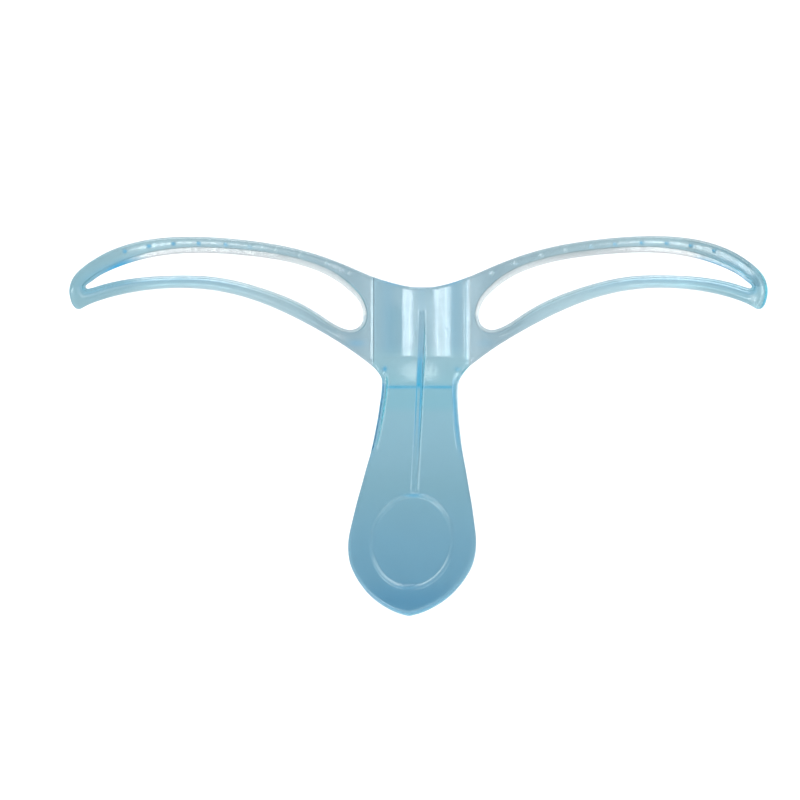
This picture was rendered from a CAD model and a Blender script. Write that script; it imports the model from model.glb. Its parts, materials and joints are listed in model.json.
"""Looks for the cheek retractor: three meshes of one clear light-blue moulding, bent with the wings.

Seen from the front (from -Y) the handle hangs down to a point at z = 0, and a left and a right
wing, each with a long window, spread to -X and +X at the top. The middle is a channel pressed
towards the back (+Y); the wing ends and the handle's foot come forward. The shape is worked out in
millimetres and written to the meshes in metres.
"""

import json
import math

import bmesh
import bpy
import numpy as np
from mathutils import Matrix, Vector
from mathutils.kdtree import KDTree


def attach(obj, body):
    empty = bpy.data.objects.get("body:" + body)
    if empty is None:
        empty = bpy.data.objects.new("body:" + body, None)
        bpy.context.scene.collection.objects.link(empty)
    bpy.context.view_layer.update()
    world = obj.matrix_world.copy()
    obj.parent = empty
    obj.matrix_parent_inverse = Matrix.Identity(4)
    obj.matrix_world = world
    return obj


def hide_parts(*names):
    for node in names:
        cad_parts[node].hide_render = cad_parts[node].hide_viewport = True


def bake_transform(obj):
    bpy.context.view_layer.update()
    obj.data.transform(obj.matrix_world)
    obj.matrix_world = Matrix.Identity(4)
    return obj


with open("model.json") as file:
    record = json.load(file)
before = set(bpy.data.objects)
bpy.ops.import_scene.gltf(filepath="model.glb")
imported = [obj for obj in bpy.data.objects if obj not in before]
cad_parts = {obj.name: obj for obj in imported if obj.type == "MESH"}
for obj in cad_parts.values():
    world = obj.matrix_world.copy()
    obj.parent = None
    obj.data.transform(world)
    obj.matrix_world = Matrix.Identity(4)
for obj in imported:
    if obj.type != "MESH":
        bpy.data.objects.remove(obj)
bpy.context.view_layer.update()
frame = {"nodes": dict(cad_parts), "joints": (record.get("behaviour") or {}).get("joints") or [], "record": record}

# ---------------------------------------------------------------- dimensions, millimetres
# Right half of the outline, (x, z): from the top notch round the wing and down to the point.
OUTLINE = [
    (0.0, 64.94), (2.01, 65.0), (4.02, 65.34), (7.04, 66.12), (10.06, 67.18), (14.08, 68.89),
    (18.11, 70.5), (22.13, 71.85), (26.16, 72.9), (30.18, 73.69), (35.21, 74.4), (40.24, 74.87),
    (45.27, 75.11), (50.3, 75.02), (54.33, 74.61), (57.34, 74.02), (60.36, 73.1), (62.78, 72.08),
    (64.99, 70.84), (67.0, 69.4), (68.41, 68.1), (69.4, 66.7), (69.92, 65.2), (70.02, 63.8),
    (69.75, 62.3), (69.2, 61.05), (68.45, 60.5), (67.5, 60.85), (66.4, 61.45), (64.79, 62.1),
    (61.97, 62.98), (58.75, 63.73), (55.33, 64.29), (51.31, 64.65), (47.28, 64.71),
    (43.26, 64.44), (39.24, 63.8), (35.21, 62.77), (31.19, 61.36), (27.57, 59.81),
    (24.14, 58.13), (21.13, 56.52), (18.11, 54.79), (15.09, 52.91), (12.47, 51.08),
    (10.5, 49.6), (9.3, 48.6), (8.35, 47.45), (7.75, 46.4), (7.55, 45.3),
    (7.6, 43.2), (7.75, 41.8), (8.05, 39.0), (8.45, 36.25), (8.9, 33.47),
    (9.5, 30.7), (10.16, 27.9), (10.78, 25.1), (11.42, 22.3), (11.98, 19.5), (12.5, 16.7),
    (12.74, 15.0), (12.8, 13.9), (12.74, 12.5), (12.5, 11.0), (12.05, 9.5), (11.4, 8.2),
    (10.6, 6.9), (9.55, 5.55), (8.25, 4.15), (6.5, 2.75), (4.2, 1.39), (1.8, 0.42), (0.0, 0.0),
]
# Right wing's window, closed: (x, z, width of the thin lip round it).
WINDOW = [
    (11.62, 59.3, 0.7), (11.78, 60.3, 0.75), (12.2, 61.5, 0.8), (12.95, 62.7, 0.9),
    (14.08, 63.86, 1.0), (15.69, 65.25, 1.1), (17.71, 66.62, 1.2), (20.12, 67.88, 1.2),
    (23.14, 69.0, 1.2), (26.56, 69.93, 1.2), (30.18, 70.62, 1.2), (34.21, 71.16, 1.2),
    (38.23, 71.53, 1.2), (42.25, 71.76, 1.2), (46.28, 71.79, 1.2), (50.3, 71.53, 1.15),
    (54.33, 70.9, 1.1), (57.34, 70.17, 1.0), (60.36, 69.15, 0.9), (62.78, 68.1, 0.8),
    (64.79, 66.97, 0.7), (66.2, 65.9, 0.6), (66.95, 65.3, 0.5), (67.1, 65.0, 0.5),
    (66.9, 64.72, 0.5), (66.2, 64.72, 0.5), (64.79, 65.15, 0.5), (62.78, 65.75, 0.5),
    (60.36, 66.3, 0.5), (57.34, 66.78, 0.5), (54.33, 67.08, 0.5), (50.3, 67.27, 0.5),
    (46.28, 67.29, 0.5), (42.25, 67.05, 0.5), (38.23, 66.4, 0.5), (34.21, 65.39, 0.5),
    (30.18, 64.1, 0.5), (26.56, 62.7, 0.5), (23.14, 61.03, 0.5), (20.12, 59.17, 0.55),
    (17.71, 57.6, 0.6), (15.69, 56.66, 0.6), (14.08, 56.4, 0.65), (12.85, 56.8, 0.65),
    (12.05, 57.55, 0.65), (11.7, 58.4, 0.65),
]
# Height of the window's middle line: distances from the centre plane, then heights.
WINDOW_MID = (
    [11.6, 15, 20, 30, 40, 50, 60, 67],
    [59.3, 60.9, 63.5, 67.3, 69.2, 69.4, 67.8, 65.0],
)
# How the wings come forward: (distance from the centre plane, y).
WING_PLAN = [
    (8.4, 0.0), (10.0, 0.0), (14.0, 0.0), (20.0, -0.07), (28.0, -0.3), (36.0, -0.75),
    (44.0, -1.45), (52.0, -2.5), (58.0, -3.65), (62.0, -4.7), (65.0, -5.7), (68.0, -6.95),
    (71.0, -8.5),
]
# Pips along each wing's upper rail: (distance from the centre plane, z).
PIPS = [
    (14.4, 67.75), (19.1, 69.75), (24.4, 71.3), (29.3, 72.35), (34.5, 73.05), (39.4, 73.5),
    (44.8, 73.75), (49.9, 73.65), (54.8, 73.2), (59.6, 72.15),
]
PIP_R, PIP_H = 0.42, 0.28
SHEET_T, WING_T, LIP_T, HANDLE_T = 1.4, 1.7, 0.9, 2.0  # wall thicknesses
CHANNEL_DEPTH, CHANNEL_HALF_W, CHANNEL_POWER = 2.4, 9.7, 1.8
CHANNEL_END_Z = 50.7  # below this the channel ramps down to the crease
CREASE_Z, CREASE_Y = 45.3, -0.5
HANDLE_SLOPE = 0.4084  # the handle comes forward by this much per millimetre down
HANDLE_COS = math.cos(math.atan(HANDLE_SLOPE))
RIB_W, RIB_END_Z, RIB_TOP_Z, RIB_STAND = 1.3, 24.2, 60.2, 1.3
FLANGE_W, FLANGE_END_Z, FLANGE_TOP_Z, FLANGE_STAND, FLANGE_TOP_Y = 1.0, 32.5, 47.6, 1.35, -0.95
FLANGE_MIN_X = 4.0  # flanges lie further out than this
RING_Z, RING_A, RING_B, RING_W, RING_H = 14.1, 8.45, 9.36, 0.7, 0.35
OUTER_ROUND, WINDOW_ROUND = 0.62, 0.16
SEAM_X, SEAM_GAP = 9.7, 0.03  # where the wing meshes meet the centre mesh

joints = {j["name"]: j for j in frame["joints"]}
Y_SHIFT = joints["wing_flex_right"]["pos_m"][1] * 1000  # the moulding's place along Y

# ---------------------------------------------------------------- colour data
# How the clear plastic looks against white: (place in millimetres, displayed 8-bit sRGB).
HANDLE_LOOK = [  # by height
    (0.0, (80, 140, 174)), (3.0, (84, 143, 177)), (7.0, (102, 154, 182)),
    (15.0, (113, 162, 187)), (25.0, (125, 170, 189)), (31.0, (134, 177, 196)),
    (39.6, (141, 184, 202)), (40.8, (133, 183, 201)), (43.0, (134, 184, 202)),
    (46.0, (144, 189, 204)), (51.0, (153, 189, 203)), (53.5, (150, 183, 199)),
    (66.0, (150, 182, 198)),
]
WING_LOOK = [  # by distance from the centre plane
    (9.7, (152, 180, 194)), (11.3, (148, 176, 190)), (13.0, (140, 169, 184)),
    (16.0, (141, 168, 182)), (24.0, (152, 178, 190)), (30.0, (157, 182, 193)),
    (45.0, (159, 186, 197)), (53.0, (157, 187, 198)), (60.0, (146, 182, 195)),
    (70.0, (140, 180, 194)),
]
LIP_LOOK = [(0.0, (224, 226, 230)), (0.5, (208, 212, 217)), (1.2, (184, 194, 200))]  # from window
# What the plastic absorbs of red, green and blue, per millimetre.
ABSORB = np.array([0.20, 0.05, 0.015])
# Light coming through from the backdrop, plus the surface's own shine.
BACKLIGHT = np.array([1.25, 1.22, 1.28])


# ---------------------------------------------------------------- curves and falloffs
def arclen(points, closed=False):
    """Running length along a polyline, in its first two columns."""
    run = np.vstack([points, points[:1]]) if closed else points
    return np.r_[0, np.cumsum(np.linalg.norm(np.diff(run[:, :2], axis=0), axis=1))]


def at_len(points, lengths, closed=False):
    """Points at the given lengths along a polyline."""
    along = arclen(points, closed)
    run = np.vstack([points, points[:1]]) if closed else points
    lengths = np.mod(lengths, along[-1]) if closed else lengths
    return np.stack([np.interp(lengths, along, run[:, k]) for k in range(run.shape[1])], -1)


def spline(points, closed=False):
    """Natural (or wrapped) cubic spline by chord length, as a dense polyline."""
    step, wrap = 0.1, 6
    knots = np.array(points, float)
    run = np.vstack([knots[-wrap:], knots, knots[:wrap]]) if closed else knots
    along = arclen(run)
    gap = np.diff(along)
    count = len(run)
    matrix = np.eye(count)
    right = np.zeros_like(run)
    for i in range(1, count - 1):
        matrix[i, i - 1 : i + 2] = gap[i - 1], 2 * (gap[i - 1] + gap[i]), gap[i]
        right[i] = 6 * ((run[i + 1] - run[i]) / gap[i] - (run[i] - run[i - 1]) / gap[i - 1])
    bend = np.linalg.solve(matrix, right)  # second derivatives at the knots
    start, end = (along[wrap], along[wrap + len(knots)]) if closed else (0, along[-1])
    s = np.linspace(start, end, max(int((end - start) / step), 8) + 1)
    if closed:
        s = s[:-1]
    i = np.clip(np.searchsorted(along, s, side="right") - 1, 0, count - 2)
    ahead = (along[i + 1] - s)[:, None]
    behind = (s - along[i])[:, None]
    h = gap[i][:, None]
    return (
        bend[i] * ahead**3 / (6 * h) + bend[i + 1] * behind**3 / (6 * h)
        + (run[i] / h - bend[i] * h / 6) * ahead
        + (run[i + 1] / h - bend[i + 1] * h / 6) * behind
    )


def smooth01(t):
    t = np.clip(t, 0, 1)
    return t * t * (3 - 2 * t)


def rise(value, start, over):
    """Smoothly 0 to 1, beginning at start."""
    return smooth01((value - start) / over)


def fall(value, end, over):
    """Smoothly 1 to 0, finishing at end."""
    return smooth01((end - value) / over)


def bell(value, at, width, power=2):
    """1 at the given place, falling away on both sides."""
    return np.exp(-(((value - at) / width) ** power))


def soft_positive(value, radius):
    """value where positive, else 0, with the corner rounded."""
    return 0.5 * (value + np.sqrt(value * value + radius * radius))


def dist_to(points, line):
    """Distance of each point from a dense polyline."""
    tree = KDTree(len(line))
    for i, (x, z) in enumerate(line[:, :2]):
        tree.insert((x, z, 0), i)
    tree.balance()
    near = np.array([tree.find((x, z, 0))[1] for x, z in points])
    nearest = np.full(len(points), 1e9)
    for shift in (-1, 0):  # the segments before and after the nearest vertex
        i = np.clip(near + shift, 0, len(line) - 2)
        start = line[i, :2]
        span = line[i + 1, :2] - start
        t = np.clip(((points - start) * span).sum(1) / ((span**2).sum(1) + 1e-12), 0, 1)
        gap = np.linalg.norm(points - start - t[:, None] * span, axis=1)
        nearest = np.minimum(nearest, gap)
    return nearest


crease_i = OUTLINE.index((7.55, CREASE_Z))
out_top = spline(OUTLINE[: crease_i + 1])  # notch, wing, neck
out_low = spline(OUTLINE[crease_i:])  # handle side, down to the point
outline = np.vstack([out_top, out_low[1:]])
outline[0, 0] = 0.0
full_outline = np.vstack([outline, (outline * np.array([-1, 1]))[::-1][1:]])
window = spline(WINDOW, closed=True)
plan = spline(WING_PLAN)

# Where the seam line leaves the outline below the wing.
foot_i = np.where((outline[:, 0] >= SEAM_X) & (outline[:, 1] > CREASE_Z))[0][-1]
foot_a, foot_b = outline[foot_i], outline[foot_i + 1]
seam_foot = foot_a + (foot_b - foot_a) * (SEAM_X - foot_a[0]) / (foot_b[0] - foot_a[0])


# ---------------------------------------------------------------- the moulding's middle surface
def channel_y(x):
    across = np.clip(np.abs(x), 0, CHANNEL_HALF_W)
    # the side walls turn into the wings over a tight round
    turn = rise(across, start=3.0, over=5.0) * fall(across, end=CHANNEL_HALF_W, over=0.5)
    across = (across - 0.45 * turn) / CHANNEL_HALF_W
    return CHANNEL_DEPTH * (1 + np.cos(np.pi * across**CHANNEL_POWER)) / 2


def sheet_y(x):
    """Depth of the channel and the wings, the same at every height."""
    away = np.abs(x)
    wing = np.interp(away, plan[:, 0], plan[:, 1])
    return np.where(away < CHANNEL_HALF_W, channel_y(x), wing)


def mid_y(x, z):
    """Middle surface: channel and wings, then a ramp to the crease, then the tilted handle."""
    ramp_round, crease_round = 0.055, 0.4
    t = (CHANNEL_END_Z - z) / (CHANNEL_END_Z - CREASE_Z)
    excess = 0.5 * (np.sqrt(1 + ramp_round**2) - 1)
    t = soft_positive(t, ramp_round) - excess * np.clip(t, 0, 1)
    ramp = np.clip(1 - soft_positive(1 - t, ramp_round), 0, 1.0)
    lean = soft_positive(CREASE_Z - z, crease_round)
    return sheet_y(x) * (1 - ramp) + CREASE_Y * ramp - HANDLE_SLOPE * lean


def surface_at(x, z):
    """Point on the middle surface and its unit normal, which points to the front."""
    e = 0.02
    slope_x = (mid_y(x + e, z) - mid_y(x - e, z)) / (2 * e)
    slope_z = (mid_y(x, z + e) - mid_y(x, z - e)) / (2 * e)
    normal = np.stack([slope_x, -np.ones_like(slope_x), slope_z], -1)
    normal /= np.linalg.norm(normal, axis=-1, keepdims=True)
    return np.stack([x, mid_y(x, z), z], -1), normal


def wall(x, z):
    """Wall thickness before the rims are rounded."""
    away = np.abs(x)
    sheet = SHEET_T + (WING_T - SHEET_T) * rise(away, start=9.1, over=1.0)
    # the handle's thickness fades in below the channel; below z = 46 it holds at every x
    across = smooth01((10.2 - away) / 1.0 + (z < 46) * 10)
    handle = fall(z, end=CHANNEL_END_Z, over=6.0) * across
    return sheet * (1 - handle) + HANDLE_T * handle


def rim(dist, radius):
    """How much of a round of that radius is lost at a distance from the edge."""
    dist = np.clip(dist, 0, radius)
    return radius - np.sqrt(np.maximum(radius * radius - (radius - dist) ** 2, 0))


# ---------------------------------------------------------------- raised features
def ring_reach(x, z, power=1):
    """1 on the middle line of the handle's oval ring; power 2 gives its gradient."""
    half_x, half_z = RING_A - RING_W / 2, RING_B - RING_W / 2
    return np.sqrt((x / half_x**power) ** 2 + ((z - RING_Z) / half_z**power) ** 2)


def ring_height(x, z):
    reach = ring_reach(x, z)
    dist = (reach - 1) * reach / np.maximum(ring_reach(x, z, power=2), 1e-6)
    return RING_H * np.cos(np.clip(dist / (RING_W + 0.25), -0.5, 0.5) * np.pi) ** 2


def handle_front_y(z):
    return CREASE_Y - HANDLE_SLOPE * (CREASE_Z - z) - HANDLE_T / 2 / HANDLE_COS


def crest_y(z, end_z, stand, top_z, top_y):
    """Front edge of a rib that grows from the handle, stands out at the crease and fades above."""
    crest = [handle_front_y(end_z), handle_front_y(CREASE_Z) - stand, top_y]
    return np.interp(z, [end_z, CREASE_Z, top_z], crest)


def bring_forward(front, crest, gate):
    """Move front points to the crest's y where it lies before them, as far as the gate is open."""
    y = front[:, 1]
    front[:, 1] = np.where(crest < y, y * (1 - gate) + crest * gate, y)


def add_rib(front, x, z):
    away = np.abs(x)
    gate = fall(away, end=RIB_W / 2 + 0.08, over=0.16)
    gate = gate * (z > RIB_END_Z - 0.3) * (z < RIB_TOP_Z + 0.3)
    crest = crest_y(z, RIB_END_Z, RIB_STAND, RIB_TOP_Z, top_y=CHANNEL_DEPTH - SHEET_T / 2)
    crown = 0.10 * np.clip(away / (RIB_W / 2), 0, 1) ** 4
    bring_forward(front, crest + crown, gate)


def add_flanges(front, x, z, edge):
    top = FLANGE_TOP_Z + 1.2
    inside = (z > FLANGE_END_Z - 0.3) & (z < top) & (np.abs(x) > FLANGE_MIN_X)
    gate = fall(edge, end=FLANGE_W + 0.10, over=0.20) * inside * fall(z, end=top, over=1.6)
    crest = crest_y(z, FLANGE_END_Z, FLANGE_STAND, FLANGE_TOP_Z, FLANGE_TOP_Y)
    bring_forward(front, crest + rim(edge, 0.3) + rim(FLANGE_W - edge, 0.2), gate)


def window_mid(away):
    return np.interp(away, *WINDOW_MID)


def rail_crown(away, z, edge, hole):
    """Swelling of a wing's two rails; the lower one has a soft ridge."""
    across = edge / np.maximum(edge + np.maximum(hole - 0.9, 0), 1e-3)
    fade = rise(away, start=14.0, over=8.0) * fall(away, end=69.5, over=5.0)
    lower = 0.26 * (1 - np.abs(2 * across - 1) ** 1.4)
    upper = 0.18 * 4 * across * (1 - across) * (0.55 + 0.45 * fall(away, end=62.0, over=14.0))
    return np.where(z < window_mid(away), lower, upper) * fade


# ---------------------------------------------------------------- where the tint gathers
# edge and hole are a point's distances from the outline and from the window. The "gather"
# value, 0..1, marks places where light runs a long way inside the plastic.
def handle_gather(x, z, edge):
    """Values for the front face and for the back face of the centre piece."""
    away = np.abs(x)
    flange = bell(edge, at=0.30, width=0.22)
    flange = flange * rise(z, start=27.0, over=11.0) * fall(z, end=47.2, over=1.2)
    flange_foot = bell(edge, at=0.62, width=0.22)
    flange_foot = flange_foot * rise(z, start=29.0, over=9.0) * fall(z, end=47.0, over=1.2)
    neck_spot = bell(away, at=7.4, width=0.42) * bell(z, at=48.4, width=0.5)
    channel_side = bell(away, at=7.0, width=1.3) * rise(z, start=50.0, over=3.0)
    notch = bell(edge, at=0, width=0.45) * bell(away, at=6.4, width=1.8) * (z > 60)
    both_faces = np.maximum.reduce([
        0.30 * flange * (away > FLANGE_MIN_X),
        0.60 * flange_foot * (x > FLANGE_MIN_X),
        np.where(x < 0, 0.8, 0.45) * neck_spot,
        0.10 * channel_side,
        0.6 * notch,
    ])
    # thin lines, on the front face only
    crease = bell(z, at=CREASE_Z - 0.75, width=0.36) * fall(away, end=7.4, over=1.4)
    crease = crease * (0.80 + 0.12 * rise(away, start=1.5, over=3.0))
    # where crease and rib cross, reaching further up than down
    cross = np.exp(-((z - 45.0) ** 2) / np.where(z > 45.0, 2.6, 1.1))
    cross = cross * bell(away, at=0, width=0.62, power=4)
    # the rib: a strip above the crease, two lines below it
    strength = 0.08 + 0.60 * fall(z, end=RIB_TOP_Z + 1.0, over=15.0)
    strength = strength + 0.25 * fall(z, end=53.0, over=4.0)
    strip = bell(away, at=0, width=0.60, power=6) * (z >= CREASE_Z - 0.6) * strength
    line_x = np.interp(z, [30.0, 45.0], [0.36, 0.44])
    pair = bell(away, at=line_x, width=0.17) * (z < CREASE_Z) * (z > RIB_END_Z)
    pair = pair * rise(z, start=27.0, over=15.0)
    ring_top = bell(z, at=RING_Z + RING_B - 0.35, width=0.35) * bell(away, at=0, width=2.0)
    front = np.maximum.reduce([both_faces, crease, cross, strip, pair, 0.75 * ring_top])
    return np.clip(front, 0, 1), np.clip(both_faces, 0, 1)


def wing_gather(away, z, edge, hole, side):
    """Values for a wing, the same on both faces."""
    upper, lower = z > window_mid(away), z < window_mid(away)
    parts = []
    for pip_x, pip_z in PIPS:
        dot = bell(away, at=pip_x - 0.05, width=0.30) * bell(z, at=pip_z - 0.08, width=0.28)
        parts.append(0.85 * rise(pip_x, start=28.0, over=14.0) * dot)
    parts.append(rise(away, start=58.0, over=9.0) * 0.12 * bell(hole, at=1.0, width=1.2))
    # shade above the window, near the wing's end
    if side < 0:
        web_strength = 0.30
        near = 0.95 * bell(away, at=60.8, width=3.2) * bell(hole, at=0, width=1.0)
        wide = 0.30 * bell(away, at=64.0, width=4.5) * bell(hole, at=0.6, width=0.9)
    else:
        web_strength = 0.12
        near = 0.42 * rise(away, start=54.0, over=4.0) * bell(hole, at=0.1, width=0.5)
        wide = 0.16 * rise(away, start=57.0, over=6.0) * bell(hole, at=1.2, width=1.4)
    parts += [near * upper, wide * upper]
    below = lower * rise(away, start=26.0, over=22.0)
    parts.append(0.24 * below * bell(hole, at=0.8, width=0.8))
    parts.append(web_strength * bell(away, at=13.0, width=1.8) * bell(z, at=53.7, width=0.7))
    gather = np.clip(np.maximum.reduce(parts), 0, 1)
    return gather, gather


# ---------------------------------------------------------------- tint by place
def linear(srgb):
    c = np.asarray(srgb, float) / 255
    return np.where(c <= 0.04045, c / 12.92, ((c + 0.055) / 1.055) ** 2.4)


def look(table, at):
    places = np.array([row[0] for row in table])
    colours = linear([row[1] for row in table])
    return np.stack([np.interp(at, places, colours[:, k]) for k in range(3)], -1)


def toward(colour, target, amount):
    return colour + (target - colour) * amount[:, None]


def handle_look(x, z, edge):
    away = np.abs(x)
    want = look(HANDLE_LOOK, z)
    # the channel's left side is a little deeper
    left = 0.7 * bell(x, at=-5.3, width=1.9)
    left = left * rise(z, start=50.0, over=3.0) * fall(z, end=62.5, over=3.0)
    want = want * (1 - np.array([0.26, 0.12, 0.08]) * left[:, None])
    # the handle's lower rim is a little paler
    pale = bell(edge, at=0, width=0.5) * fall(z, end=22.0, over=14.0)
    want = toward(want, linear((160, 203, 222)), 0.75 * pale)
    # walls that stand up from the face pass light on without much tint
    rib = bell(away, at=0.70, width=0.09) * (z > RIB_END_Z) * (z < RIB_TOP_Z)
    flange = bell(edge, at=1.02, width=0.10) * (z > FLANGE_END_Z) * (z < 47.5)
    stands = np.maximum(rib, flange * (away > FLANGE_MIN_X))
    want = toward(want, np.array([0.62, 0.80, 0.90]), 0.9 * stands)
    # the ring's shoulder catches light low down on both sides, and less so high up
    low = fall(z, end=RING_Z - 1.5, over=3.0) * rise(away, start=0.5, over=2.5)
    high = 0.5 * rise(z, start=RING_Z + 3.0, over=3.0) * rise(away, start=3.0, over=2.0)
    shoulder = bell((ring_reach(x, z) - 1) * 8.5, at=-0.12, width=0.22)
    shine = shoulder * np.maximum(0.12, np.maximum(low, high))
    return toward(want, linear((186, 216, 228)), 0.8 * shine)


def wing_look(away, z, edge, hole, lip, side):
    want = look(WING_LOOK, away)
    upper, lower = z > window_mid(away), z < window_mid(away)
    if side > 0:
        # the outer edge of the right wing's end is lighter, and the rail beside it darker
        tip = rise(away, start=66.5, over=1.5) * fall(edge, end=1.0, over=0.5)
        want = toward(want, np.array([0.42, 0.66, 0.76]), 0.7 * tip)
        want = want * (1 - 0.22 * rise(away, start=50.0, over=6.0) * (1 - tip) * upper)[:, None]
    # the lower rail is lighter along its length
    under = lower * rise(away, start=16.0, over=10.0) * fall(away, end=60.0, over=8.0)
    want = want * (1 + (0.20 if side > 0 else 0.12) * under)[:, None]
    # the inner pips catch light
    for pip_x, pip_z in PIPS:
        if pip_x < 42.0:
            dot = bell(away, at=pip_x, width=0.30) * bell(z, at=pip_z, width=0.30)
            want = toward(want, linear((214, 236, 242)), 0.55 * dot)
    # a pale thread along the lower rail's middle
    across = edge / np.maximum(edge + hole, 1e-3)
    thread = 0.40 * bell(across, at=0.52, width=0.05) * lower * rise(away, start=50.0, over=8.0)
    want = toward(want, linear((205, 224, 230)), thread)
    # a pale outer rim
    rimmed = 0.55 * bell(edge, at=0, width=0.33) * fall(away, end=64.0, over=6.0)
    want = toward(want, linear((214, 224, 228)), rimmed)
    # the thin lip, weaker towards the wing's end and below the window
    amount = lip * (1 - 0.92 * rise(away, start=53.5, over=6.0)) * np.where(lower, 0.45, 1.0)
    pale = look(LIP_LOOK, hole) * (1 - 0.20 * rise(away, start=20.0, over=18.0))[:, None]
    return toward(want, pale, amount)


def surface_tint(want, thick):
    """Surface tint that gives the wanted look once the plastic's depth has taken its share."""
    through = np.exp(-ABSORB[None, :] * thick[:, None])
    return np.clip(want / through / BACKLIGHT, 0.02, 0.98)


# ---------------------------------------------------------------- meshes
def shell(x, z, lip, side):
    """Front and back points at each (x, z), gather values of both faces, and the tint.

    side is 0 for the centre piece, 1 for the right wing, -1 for the left one.
    """
    points = np.stack([x, z], -1)
    away = np.abs(x)
    edge = dist_to(points, full_outline)
    if side:
        loop = np.vstack([window, window[:1]])[:, :2] * np.array([side, 1])
        hole = dist_to(points, loop)
    else:
        hole = np.full(len(x), 99.0)
    thick = wall(x, z)
    thick = thick - (thick - LIP_T) * lip
    half = thick / 2
    lost = np.maximum(
        rim(edge, np.minimum(OUTER_ROUND, half - 0.12)),
        rim(hole, np.minimum(WINDOW_ROUND, half - 0.06)),
    )
    back_h = half - lost
    front_h = back_h + ring_height(x, z)
    if side:
        for pip_x, pip_z in PIPS:
            reach = np.hypot(x - pip_x * side, z - pip_z) / PIP_R
            front_h = front_h + PIP_H * np.maximum(1 - reach * reach, 0) ** 0.8
        crown = rail_crown(away, z, edge, hole)
        front_h = front_h + crown * (1 - lip) * np.clip(back_h / 0.5, 0, 1)
    middle, normal = surface_at(x, z)
    front = middle + normal * front_h[:, None]
    back = middle - normal * back_h[:, None]
    if not side:
        add_rib(front, x, z)
        add_flanges(front, x, z, edge)
    thick = np.maximum(thick, np.linalg.norm(front - back, axis=1))
    if side:
        gather = wing_gather(away, z, edge, hole, side)
        want = wing_look(away, z, edge, hole, lip, side)
    else:
        gather = handle_gather(x, z, edge)
        want = handle_look(x, z, edge)
    return front, back, gather, surface_tint(want, thick)


def shell_faces(rows, cols, closed, verts):
    """Quads of the front grid, of the back grid, and of the walls that join their borders."""
    size = rows * cols
    grid = np.arange(size).reshape(rows, cols)
    strips = rows if closed else rows - 1
    this, following = grid[:strips], np.roll(grid, -1, axis=0)[:strips]
    corners = [this[:, :-1], this[:, 1:], following[:, 1:], following[:, :-1]]
    quads = np.stack(corners, -1).reshape(-1, 4)
    # keep the front faces turned to the front
    p0, p1, p2 = (verts[quads[:, k]] for k in range(3))
    if np.cross(p1 - p0, p2 - p0)[:, 1].sum() > 0:
        quads = quads[:, ::-1]
    # a border edge is used by one quad only
    edges = np.vstack([quads[:, [k, (k + 1) % 4]] for k in range(4)])
    ends = np.sort(edges, 1)
    key = ends[:, 0].astype(np.int64) * (2 * size) + ends[:, 1]
    _, first, count = np.unique(key, return_index=True, return_counts=True)
    border = edges[first[count == 1]]
    start, end = border[:, 0], border[:, 1]
    walls = np.stack([end, start, start + size, end + size], -1)
    return np.vstack([quads, quads[:, ::-1] + size, walls])


def finish_mesh(mesh):
    """Weld, orient and shade a piece, and mark its seam faces in the attribute "cut"."""
    bm = bmesh.new()
    bm.from_mesh(mesh)
    bmesh.ops.remove_doubles(bm, verts=bm.verts, dist=2e-6)
    bmesh.ops.dissolve_degenerate(bm, edges=bm.edges, dist=1e-6)
    bmesh.ops.recalc_face_normals(bm, faces=bm.faces)
    sharp_angle = math.radians(28)
    for face in bm.faces:
        face.smooth = True
    for edge in bm.edges:
        edge.smooth = len(edge.link_faces) == 2 and edge.calc_face_angle(0) < sharp_angle
    cut = bm.faces.layers.float.new("cut")
    for face in bm.faces:
        centre = face.calc_center_median()
        on_seam = abs(abs(centre.x) * 1000 - SEAM_X) < SEAM_GAP * 1.5
        if abs(face.normal.x) > 0.98 and on_seam and centre.z > 0.0475:
            face[cut] = 1.0
    bm.to_mesh(mesh)
    bm.free()


def build(name, grid_x, grid_z, lip, side, closed):
    """A closed mesh from a grid of (x, z). closed: the rows join end to end, round a window."""
    front, back, gather, tint = shell(grid_x.ravel(), grid_z.ravel(), lip.ravel(), side)
    verts = np.vstack([front, back])
    verts[:, 1] += Y_SHIFT
    faces = shell_faces(*grid_x.shape, closed, verts)
    mesh = bpy.data.meshes.new(name)
    mesh.from_pydata((verts / 1000).tolist(), [], faces.tolist())
    values = mesh.attributes.new("gather", "FLOAT", "POINT")
    values.data.foreach_set("value", np.concatenate(gather).astype(np.float32))
    values = mesh.attributes.new("tint", "FLOAT_COLOR", "POINT")
    rgba = np.hstack([np.vstack([tint, tint]), np.ones((len(verts), 1))])
    values.data.foreach_set("color", rgba.ravel().astype(np.float32))
    mesh.validate()
    piece = bpy.data.objects.new(name, mesh)
    bpy.context.scene.collection.objects.link(piece)
    finish_mesh(mesh)
    return piece


# Grid spacing inwards from a rounded outer edge.
EDGE_STEPS = [0, 0.03, 0.08, 0.16, 0.27, 0.42, 0.6]


# ---------------------------------------------------------------- centre piece
# Row spacing up the handle: (from this height, spacing).
ROW_STEPS = [
    (0.0, 0.035), (0.6, 0.10), (3.0, 0.24), (24.5, 0.40), (43.9, 0.09), (46.5, 0.24), (49.5, 0.3),
]
# Columns over the rib, from the centre plane, and at the flanges, inwards from the edge.
RIB_COLUMNS = [
    0, 0.1, 0.2, 0.3, 0.38, 0.46, 0.53, 0.59, 0.64, 0.68, 0.73, 0.80, 0.90, 1.05, 1.25, 1.5,
    1.75, 2.0,
]
FLANGE_COLUMNS = [
    0, 0.03, 0.08, 0.15, 0.24, 0.34, 0.46, 0.6, 0.74, 0.86, 0.93, 1.0, 1.07, 1.15, 1.3, 1.5,
]


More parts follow.
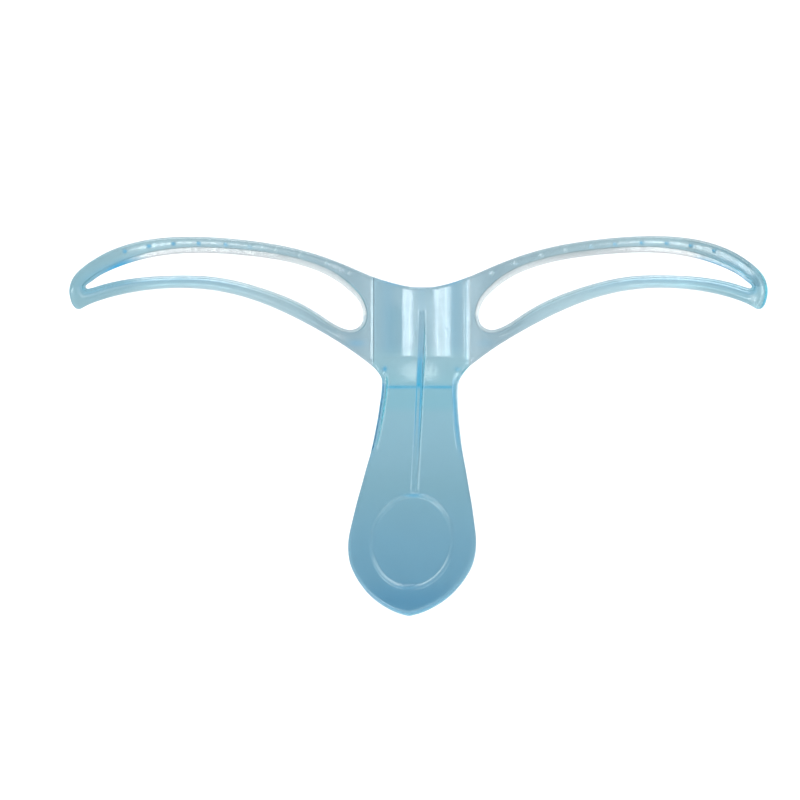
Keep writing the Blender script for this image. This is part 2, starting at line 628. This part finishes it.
def centre_columns(half_width):
    """x of one row's points, squeezed where the row is short."""
    squeeze = min(1.0, half_width / 5.0)
    inner = np.array(RIB_COLUMNS) * squeeze
    outer = half_width - np.array(FLANGE_COLUMNS)[::-1] * squeeze
    between = np.linspace(inner[-1], outer[0], 58)[1:-1]
    half = np.r_[inner, between, outer]
    return np.r_[-half[::-1][:-1], half]


def handle_rows():
    """Heights and half widths of the rows from the point up to the seam's foot."""
    side = np.vstack([seam_foot, outline[foot_i + 1 :]])
    dense = at_len(side, np.linspace(0, arclen(side)[-1], 1200))[::-1]
    order = np.argsort(dense[:, 1], kind="stable")
    side_x, side_z = dense[order, 0], dense[order, 1]
    heights = [0.02]
    while heights[-1] < side_z[-1]:
        step = [d for start, d in ROW_STEPS if start <= heights[-1] + 1e-9][-1]
        heights.append(heights[-1] + step)
    heights = np.r_[np.array(heights[:-1]), side_z[-1]]
    heights = heights[np.r_[True, np.diff(heights) > 0.02]]
    widths = np.interp(heights, side_z, side_x)
    wide = widths > 0.3  # the point itself is blunt
    return heights[wide], widths[wide]


def centre_piece():
    seam_x = SEAM_X - SEAM_GAP
    rows_x, rows_z = [], []
    heights, widths = handle_rows()
    for z, width in zip(heights, widths):
        x = centre_columns(min(width, seam_x) if z > CREASE_Z else width)
        rows_x.append(x)
        rows_z.append(np.full(len(x), z))
    # above the seam's foot: level rows, then rows that bend to follow the notch
    x = centre_columns(seam_x)
    notch = out_top[: np.argmax(out_top[:, 0] > SEAM_X + 0.2)]
    top_z = np.interp(np.abs(x), notch[:, 0], notch[:, 1])
    level = np.r_[np.arange(heights[-1] + 0.3, 52.0, 0.3), np.arange(52.0, 62.0, 0.5)]
    near_top = (EDGE_STEPS + [0.8])[::-1]
    last = level[-1]
    upper = [np.full(len(x), z) for z in level]
    for f in np.linspace(0, 1, 14)[1:-1]:
        upper.append(last + (top_z - near_top[0] - last) * f)
    upper += [top_z - dist for dist in near_top]
    grid_x = np.array(rows_x + [x] * len(upper))
    grid_z = np.array(rows_z + upper)
    no_lip = np.zeros_like(grid_x)
    return build("moulding_centre", grid_x, grid_z, no_lip, side=0, closed=False)


# ---------------------------------------------------------------- wing pieces
# Window points, (x, z), paired with the outline straight above or below them.
PAIRED_ABOVE = [
    (17.71, 66.62), (23.14, 69.0), (30.18, 70.62), (38.23, 71.53), (46.28, 71.79),
    (54.33, 70.9), (60.36, 69.15), (64.79, 66.97),
]
PAIRED_BELOW = [
    (62.78, 65.75), (57.34, 66.78), (50.3, 67.27), (42.25, 67.05), (34.21, 65.39),
    (26.56, 62.7), (20.12, 59.17),
]
# Pairs round the wing's end: (window x, z), (outline x, z).
PAIRED_TIP = [
    ((66.95, 65.3), (69.6, 66.3)), ((67.1, 65.0), (70.02, 64.3)),
    ((66.9, 64.72), (69.6, 61.9)), ((66.2, 64.72), (68.2, 60.52)),
]
SEAM_TOP_PAIR, SEAM_FOOT_PAIR = (12.95, 62.7), (12.85, 56.8)  # window points for the seam's ends
WING_SAMPLES = 1120  # points round the window


def loop_normals(points):
    tangent = np.roll(points, -1, 0)[:, :2] - np.roll(points, 1, 0)[:, :2]
    tangent /= np.linalg.norm(tangent, axis=1, keepdims=True)
    return np.stack([-tangent[:, 1], tangent[:, 0]], -1)


def wing_border():
    """Outer border of a wing: the outline from the seam's top to its foot, then that plus the seam."""
    first = np.argmax(out_top[:, 0] >= SEAM_X)
    z_top = np.interp(SEAM_X, out_top[: first + 1, 0], out_top[: first + 1, 1])
    z_foot = seam_foot[1]
    arc = np.vstack([[SEAM_X, z_top], out_top[first : foot_i + 1], [SEAM_X, z_foot]])
    seam = np.stack([np.full(190, SEAM_X), np.linspace(z_foot, z_top, 192)[1:-1]], -1)
    return arc, np.vstack([arc, seam])


def pair_lengths(arc, loop):
    """Matching lengths along the window and the outer border, one pair per sample."""
    arc_lens, window_lens = arclen(arc), arclen(window, True)[:-1]
    arc_total, loop_total = arc_lens[-1], arclen(loop, True)[-1]
    window_total = arclen(window, True)[-1]
    normals = loop_normals(window)

    def nearest(line, x, z):
        return np.argmin(np.hypot(line[:, 0] - x, line[:, 1] - z))

    def window_at(x, z):
        return window_lens[nearest(window, x, z)]

    def arc_at(x, z):
        return arc_lens[nearest(arc, x, z)]

    top_u, foot_u = window_at(*SEAM_TOP_PAIR), window_at(*SEAM_FOOT_PAIR)
    keys = [(top_u, 0.0), (foot_u, arc_total), (top_u + window_total, loop_total)]
    keys += [(window_at(*inner), arc_at(*outer)) for inner, outer in PAIRED_TIP]
    for places, up, reach in ((PAIRED_ABOVE, 1, 3.0), (PAIRED_BELOW, -1, 2.6)):
        for place in places:
            k = nearest(window, *place)
            normal = normals[k] if normals[k][1] * up > 0 else -normals[k]
            keys.append((window_lens[k], arc_at(*(window[k, :2] + normal * reach))))
    keys = np.array(sorted(keys))

    # smooth the pairing's departure from a straight line
    u = np.linspace(keys[0, 0], keys[-1, 0], 4000)
    straight = np.interp(u, keys[[0, -1], 0], keys[[0, -1], 1])
    bend = np.interp(u, keys[:, 0], keys[:, 1]) - straight
    kernel = np.hanning(161)
    kernel /= kernel.sum()
    bend = np.convolve(np.r_[bend[-161:-1], bend, bend[1:161]], kernel, "same")[160:-160]
    v = bend + straight
    # pull the seam's ends back to their exact places
    shift = np.zeros_like(v)
    for centre, error in (
        (keys[0, 0], 0.0 - v[0]),
        (foot_u, arc_total - np.interp(foot_u, u, v)),
        (keys[-1, 0], loop_total - v[-1]),
    ):
        shift += error * bell(u, at=centre, width=2.2)
    v = np.maximum.accumulate(v + shift)

    # sample evenly by the mean of the two loops' lengths
    mean = np.r_[0, np.cumsum(0.5 * (np.diff(u) + np.abs(np.diff(v))))]
    pick = np.linspace(0, mean[-1], WING_SAMPLES + 1)[:-1]
    inner, outer = np.interp(pick, mean, u), np.interp(pick, mean, v)
    for corner in (0.0, arc_total):
        outer[np.argmin(np.abs(outer - corner))] = corner
    return inner, outer


def wing_piece(name, side):
    arc, loop = wing_border()
    inner_lens, outer_lens = pair_lengths(arc, loop)
    inner = at_len(window, inner_lens, True)
    outer = at_len(loop, outer_lens, True)[:, :2]
    inner_xz, lip_w = inner[:, :2], inner[:, 2]
    # normals pointing away from the window's opening
    normals = loop_normals(inner)
    after = np.roll(inner, -1, 0)
    if (inner[:, 0] * after[:, 1] - after[:, 0] * inner[:, 1]).sum() > 0:
        normals = -normals

    # rings round the window: (distance from it, how much of a lip it is)
    offsets = [(dist, 1.0) for dist in (0, 0.015, 0.04, 0.08, 0.12, WINDOW_ROUND)]
    flat = np.maximum(lip_w - 0.08 - WINDOW_ROUND, 0.02)
    offsets += [(WINDOW_ROUND + flat * f, 1.0) for f in (0.55, 0.8)]
    offsets += [(lip_w - 0.07, 1.0), (lip_w, 0.5), (lip_w + 0.07, 0.0)]
    rings, lips = [], []
    for dist, lip in offsets:
        rings.append(inner_xz + normals * np.broadcast_to(dist, WING_SAMPLES)[:, None])
        lips.append(lip)
    # rings across the rail, then over its outer round
    lip_end = rings[-1]
    span = outer - lip_end
    length = np.maximum(np.linalg.norm(span, axis=1), 1.0)
    for f in np.linspace(0, 1, 20)[1:-1]:
        rings.append(lip_end + span * (f * (1 - EDGE_STEPS[-1] / length))[:, None])
    for dist in EDGE_STEPS[::-1]:
        rings.append(outer - span * (dist / length)[:, None])
    lips += [0.0] * (len(rings) - len(lips))
    grid = np.stack(rings, 1)
    lip = np.tile(lips, (WING_SAMPLES, 1))
    return build(name, grid[:, :, 0] * side, grid[:, :, 1], lip, side, closed=True)


centre = centre_piece()
wing_r = wing_piece("moulding_wing_right", 1)
wing_l = wing_piece("moulding_wing_left", -1)

# ---------------------------------------------------------------- material
# Round marks on the channel's front: (x, z, radius, half width of the line), millimetres.
ROUND_MARKS = [(-6.5, 56.1, 1.25, 0.11), (4.4, 55.7, 1.1, 0.09)]
VOLUME_DENSITY = 360  # absorption per metre is this x (1 - colour)


def clear_blue():
    mat = bpy.data.materials.new("clear_blue_moulding")
    mat.use_nodes = True
    tree = mat.node_tree
    tree.nodes.clear()

    def node(kind, inputs=None, **settings):
        """New node; inputs maps a socket's name or number to a value or to a socket to link."""
        made = tree.nodes.new(kind)
        for key, value in settings.items():
            setattr(made, key, value)
        for key, value in (inputs or {}).items():
            if isinstance(value, bpy.types.NodeSocket):
                tree.links.new(value, made.inputs[key])
            else:
                made.inputs[key].default_value = value
        return made

    def maths(operation, *values):
        made = node("ShaderNodeMath", dict(enumerate(values)), operation=operation)
        return made.outputs["Value"]

    def attribute(name, output="Fac"):
        return node("ShaderNodeAttribute", attribute_name=name).outputs[output]

    def mix_colour(factor, first, second, blend="MIX"):
        # 6, 7 and output 2 are the colour sockets
        inputs = {"Factor": factor, 6: first, 7: second}
        return node("ShaderNodeMix", inputs, data_type="RGBA", blend_type=blend).outputs[2]

    def mix_shader(factor, first, second):
        inputs = {"Fac": factor, 1: first, 2: second}
        return node("ShaderNodeMixShader", inputs).outputs["Shader"]

    coord = node("ShaderNodeTexCoord").outputs["Object"]

    def noise(scale, detail, roughness, stretch=(1, 1, 1)):
        place = node("ShaderNodeMapping", {"Vector": coord, "Scale": stretch}).outputs["Vector"]
        inputs = {"Vector": place, "Scale": scale, "Detail": detail, "Roughness": roughness}
        return node("ShaderNodeTexNoise", inputs).outputs["Fac"]

    # slow variation of the tint along the flow of the melt
    flow = noise(scale=38, detail=3, roughness=0.55, stretch=(1, 1, 0.35))
    vary = node("ShaderNodeValToRGB", {"Fac": flow})
    stops = [(0.3, (0.94, 0.97, 0.98, 1)), (0.7, (1.0, 1.0, 1.0, 1))]
    for element, (position, colour) in zip(vary.color_ramp.elements, stops):
        element.position = position
        element.color = colour
    tint = mix_colour(1.0, attribute("tint", "Color"), vary.outputs["Color"], blend="MULTIPLY")
    deep_blue = (0.014, 0.31, 0.53, 1)
    base = mix_colour(attribute("gather"), tint, deep_blue)

    # handling haze, fine scratches
    haze = noise(scale=160, detail=4, roughness=0.6)
    scratches = noise(scale=900, detail=2, roughness=0.5, stretch=(1, 0.5, 0.06))
    roughness = node("ShaderNodeMapRange", {
        "Value": maths("MULTIPLY", haze, scratches),
        "From Min": 0.12, "From Max": 0.40, "To Min": 0.09, "To Max": 0.24,
    }).outputs["Result"]

    # worn round marks
    place = node("ShaderNodeSeparateXYZ", {"Vector": coord}).outputs

    def round_mark(x, z, radius, half_width):
        dx = maths("SUBTRACT", place["X"], x / 1000)
        dz = maths("SUBTRACT", place["Z"], z / 1000)
        squares = maths("ADD", maths("MULTIPLY", dx, dx), maths("MULTIPLY", dz, dz))
        off = maths("ABSOLUTE", maths("SUBTRACT", maths("SQRT", squares), radius / 1000))
        return maths("MAXIMUM", maths("SUBTRACT", 1.0, maths("DIVIDE", off, half_width / 1000)), 0.0)

    marks = maths("ADD", *[round_mark(*mark) for mark in ROUND_MARKS])
    worn = noise(scale=700, detail=2, roughness=0.6)
    marks = maths("MULTIPLY", marks, maths("GREATER_THAN", worn, 0.47))

    # surface relief: long waves, fine grain, sunk marks
    wave_height, grain_height, mark_depth = 1.0, 0.16, 0.30
    grain = noise(scale=2400, detail=2, roughness=0.7)
    wave = noise(scale=120, detail=2, roughness=0.5, stretch=(1, 1, 0.5))
    waves = maths("MULTIPLY", wave, wave_height)
    height = maths("ADD", waves, maths("MULTIPLY", grain, grain_height))
    height = maths("SUBTRACT", height, maths("MULTIPLY", marks, mark_depth))
    bump = node("ShaderNodeBump", {"Strength": 0.35, "Distance": 0.00012, "Height": height})

    plastic = node("ShaderNodeBsdfPrincipled", {
        "Base Color": base,
        "Roughness": roughness,
        "Normal": bump.outputs["Normal"],
        "IOR": 1.49,
        "Transmission Weight": 0.93,
    }).outputs["BSDF"]
    volume = node("ShaderNodeVolumeAbsorption", {
        "Density": VOLUME_DENSITY,
        "Color": (*(1 - ABSORB * 1000 / VOLUME_DENSITY), 1),
    }).outputs["Volume"]
    # light trapped between the walls for long leaves in the plastic's own colour
    glow = node("ShaderNodeEmission", {"Color": (0.62, 1.0, 0.90, 1), "Strength": 1.5})
    depth = node("ShaderNodeLightPath").outputs["Ray Depth"]
    bounced = maths("GREATER_THAN", depth, 3.5)
    trapped = mix_shader(bounced, plastic, glow.outputs["Emission"])
    # on the cuts between the pieces of the one moulding, light goes straight across
    clear = node("ShaderNodeBsdfTransparent").outputs["BSDF"]
    joined = mix_shader(attribute("cut"), trapped, clear)
    node("ShaderNodeOutputMaterial", {"Surface": joined, "Volume": volume})
    return mat


moulding = clear_blue()
for ob in (centre, wing_r, wing_l, *frame["nodes"].values()):
    ob.data.materials.clear()
    ob.data.materials.append(moulding)

# ---------------------------------------------------------------- what moves with what
bodies = frame["record"]["behaviour"]["bodies"]
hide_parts(*bodies["handle_body"])
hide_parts(*bodies["wing_left"])
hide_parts(*bodies["wing_right"])
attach(centre, "handle_body")
# each wing bends between the seam and a line further out, metres
for ob, body, sign in ((wing_r, "wing_right", 1), (wing_l, "wing_left", -1)):
    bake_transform(ob)

# ---------------------------------------------------------------- studio, metres
FLOOR_Z, FLOOR_FRONT_Y, FLOOR_BACK_Y = -0.045, -2.6, 0.75
SWEEP_R, SWEEP_STEPS, SWEEP_TOP_Z, SWEEP_HALF_W = 0.35, 16, 2.4, 3.2


def studio_sweep():
    """Floor that curves up into a wall far behind, one seamless sheet."""
    profile = [(FLOOR_FRONT_Y, FLOOR_Z), (FLOOR_BACK_Y, FLOOR_Z)]
    for k in range(1, SWEEP_STEPS + 1):
        a = k / SWEEP_STEPS * math.pi / 2
        y = FLOOR_BACK_Y + SWEEP_R * math.sin(a)
        profile.append((y, FLOOR_Z + SWEEP_R * (1 - math.cos(a))))
    profile.append((FLOOR_BACK_Y + SWEEP_R, SWEEP_TOP_Z))
    verts = [(x, y, z) for y, z in profile for x in (-SWEEP_HALF_W, SWEEP_HALF_W)]
    faces = [(2 * k, 2 * k + 1, 2 * k + 3, 2 * k + 2) for k in range(len(profile) - 1)]
    mesh = bpy.data.meshes.new("studio_sweep")
    mesh.from_pydata(verts, [], faces)
    sheet = bpy.data.objects.new("studio_sweep", mesh)
    bpy.context.scene.collection.objects.link(sheet)
    for face in mesh.polygons:
        face.use_smooth = True
    paper = bpy.data.materials.new("studio_paper")
    paper.use_nodes = True
    inputs = paper.node_tree.nodes["Principled BSDF"].inputs
    inputs["Base Color"].default_value = (0.93, 0.94, 0.95, 1)
    inputs["Roughness"].default_value = 0.9
    inputs["Specular IOR Level"].default_value = 0.1
    mesh.materials.append(paper)
    return sheet


studio_sweep()


def direction(azimuth, elevation):
    """Unit vector towards a place round the product; degrees, 0 is the front, + is to the right."""
    az, el = math.radians(azimuth), math.radians(elevation)
    return Vector((math.sin(az) * math.cos(el), -math.cos(az) * math.cos(el), math.sin(el)))


def look_at(ob, target):
    ob.rotation_euler = (target - ob.location).to_track_quat("-Z", "Y").to_euler()


def area(name, location, target, size_x, size_y, power):
    light = bpy.data.lights.new(name, "AREA")
    light.energy = power
    light.shape = "RECTANGLE"
    light.size = size_x
    light.size_y = size_y
    lamp = bpy.data.objects.new(name, light)
    lamp.location = location
    look_at(lamp, target)
    bpy.context.scene.collection.objects.link(lamp)


middle = Vector((0, 0, 0.055))
area("strip_right", middle + 1.7 * direction(4.6, 0.5), middle, size_x=0.50, size_y=0.34, power=5.2)
area("strip_left", middle + 1.5 * direction(-31.5, 0.5), middle, size_x=0.93, size_y=0.34, power=9.5)
area("top", middle + 1.3 * direction(-6, 72), middle, size_x=0.5, size_y=0.5, power=5)
area("back_wash", Vector((0, 0.2, 1.1)), Vector((0, 1.1, 0.2)), size_x=1.8, size_y=0.5, power=6)

scene = bpy.context.scene
world = bpy.data.worlds.new("studio_world")
world.use_nodes = True
background = world.node_tree.nodes["Background"].inputs
background["Color"].default_value = (0.95, 0.97, 1.0, 1)
background["Strength"].default_value = 0.85
scene.world = world
scene.view_settings.view_transform = "Standard"
# clear plastic: let a path cross many walls before it is dropped
scene.cycles.max_bounces = 40
scene.cycles.transmission_bounces = 40
scene.cycles.glossy_bounces = 12
scene.cycles.transparent_max_bounces = 24

# ---------------------------------------------------------------- camera
CAM_AZIMUTH, CAM_ELEVATION, CAM_DIST = 7.6, 0.8, 1.3  # degrees, degrees, metres
AIM_LEFT, AIM_Z = 4.183267, 42.430279  # millimetres: aim left of the moulding's middle, and height


def add_camera():
    az = math.radians(CAM_AZIMUTH)
    aim_right = Y_SHIFT * math.sin(az) - AIM_LEFT
    target = Vector((aim_right * math.cos(az), aim_right * math.sin(az), AIM_Z)) / 1000
    lens = bpy.data.cameras.new("camera")
    lens.sensor_width = 36
    lens.lens = 293.67
    lens.clip_end = 20
    camera = bpy.data.objects.new("camera", lens)
    camera.location = target + CAM_DIST * direction(CAM_AZIMUTH, CAM_ELEVATION)
    look_at(camera, target)
    scene.collection.objects.link(camera)
    scene.camera = camera


add_camera()
